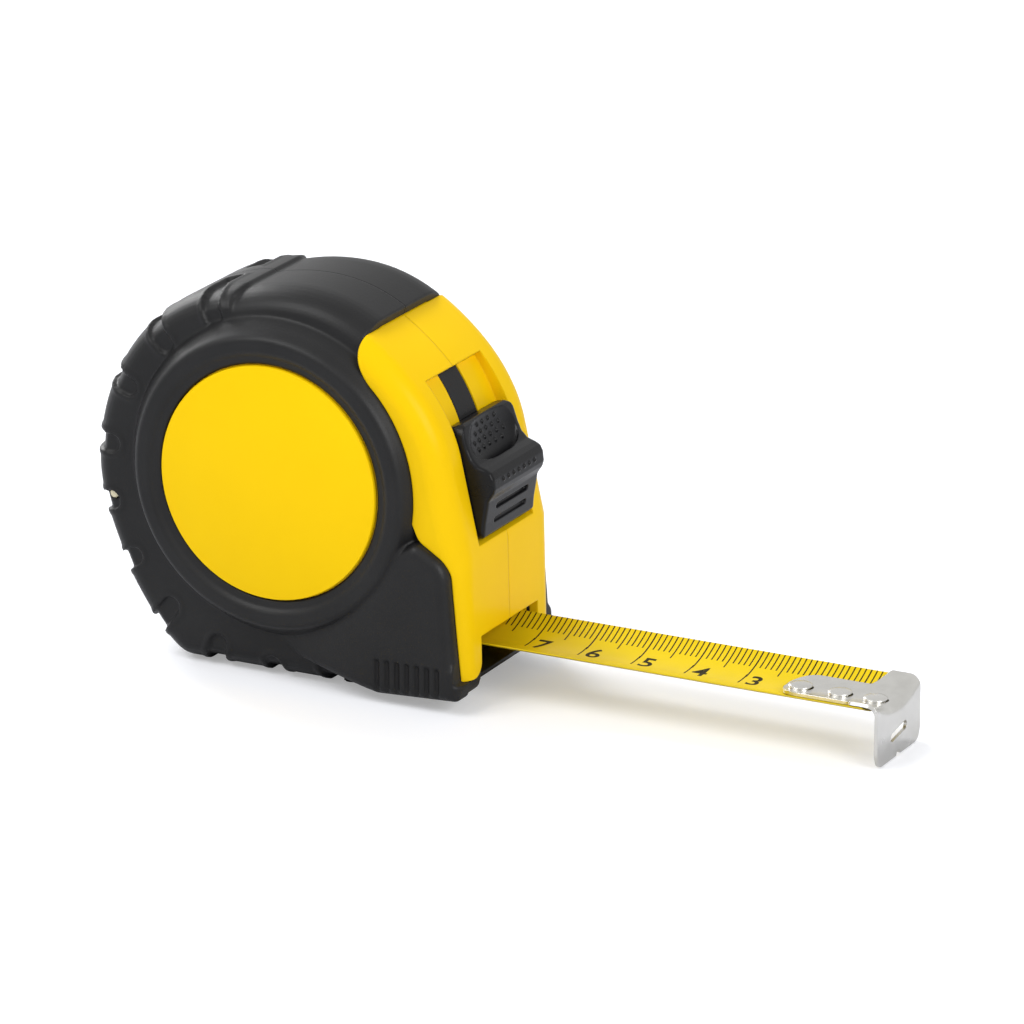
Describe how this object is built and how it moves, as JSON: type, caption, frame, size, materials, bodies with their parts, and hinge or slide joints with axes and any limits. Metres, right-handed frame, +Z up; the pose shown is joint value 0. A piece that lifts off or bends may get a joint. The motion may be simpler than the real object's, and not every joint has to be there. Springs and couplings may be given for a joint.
{
  "type": "retractable pocket tape measure",
  "caption": "Retractable steel pocket tape with a rubber-gripped D-shaped case, sprung reel, curved blade, riveted end hook and thumb lock.",
  "frame": {"origin": "on the flat base of the case, in the middle of its thickness, straight below the reel axis", "axes": "+X the way the blade pulls out, +Y from the disc side in view to the belt clip side, +Z up"},
  "size_m": [0.1463, 0.0465, 0.069],
  "materials": {
    "shell": "smooth moulded, gloss",
    "grip": "fine matte moulded rubber",
    "disc": "plain printed disc, satin",
    "lock_plastic": "satin moulded",
    "pale_plastic": "moulded",
    "spring_steel": "blued strip",
    "bright_steel": "nickel plated, polished",
    "blade_paint": "lacquered, yellow with black graduations"
  },
  "bodies": {
    "case": {"shell_near": "shell", "shell_far": "shell", "grip_near": "grip", "grip_far": "grip", "side_disc_near": "disc", "side_disc_far": "disc", "chin_plate": "lock_plastic", "strap_pin": "pale_plastic", "centre_post": "lock_plastic", "mainspring": "spring_steel", "belt_clip": "bright_steel", "clip_screw": "bright_steel", "case_screw_1": "bright_steel", "case_screw_2": "bright_steel", "case_screw_3": "bright_steel"},
    "lock": {"thumb_button": "lock_plastic", "lock_band": "lock_plastic", "brake_shoe": "grip"},
    "reel": {"reel_drum": "pale_plastic", "reel_cover": "pale_plastic", "blade_coil": "blade_paint"},
    "blade": {"blade": "blade_paint", "hook_rivet_1": "bright_steel", "hook_rivet_2": "bright_steel", "hook_rivet_3": "bright_steel"},
    "hook": {"end_hook": "bright_steel"}
  },
  "joints": [
    {"name": "blade_pull", "type": "slide", "parent": "case", "child": "blade", "axis": [1, 0, 0], "range_m": [-0.07, 0], "deforming": ["blade"]},
    {"name": "hook_play", "type": "slide", "parent": "blade", "child": "hook", "axis": [1, 0, 0], "range_m": [-0.0008, 0]},
    {"name": "reel_spin", "type": "hinge", "parent": "case", "child": "reel", "pos_m": [0, 0, 0.0364], "axis": [0, 1, 0], "range_deg": [0, 151]},
    {"name": "thumb_lock", "type": "hinge", "parent": "case", "child": "lock", "pos_m": [0, 0, 0.0364], "axis": [0, -1, 0], "range_deg": [0, 15.5]}
  ],
  "couplings": [
    {"joint": "reel_spin", "follows": "blade_pull", "rad_per_m": -37.59}
  ]
}
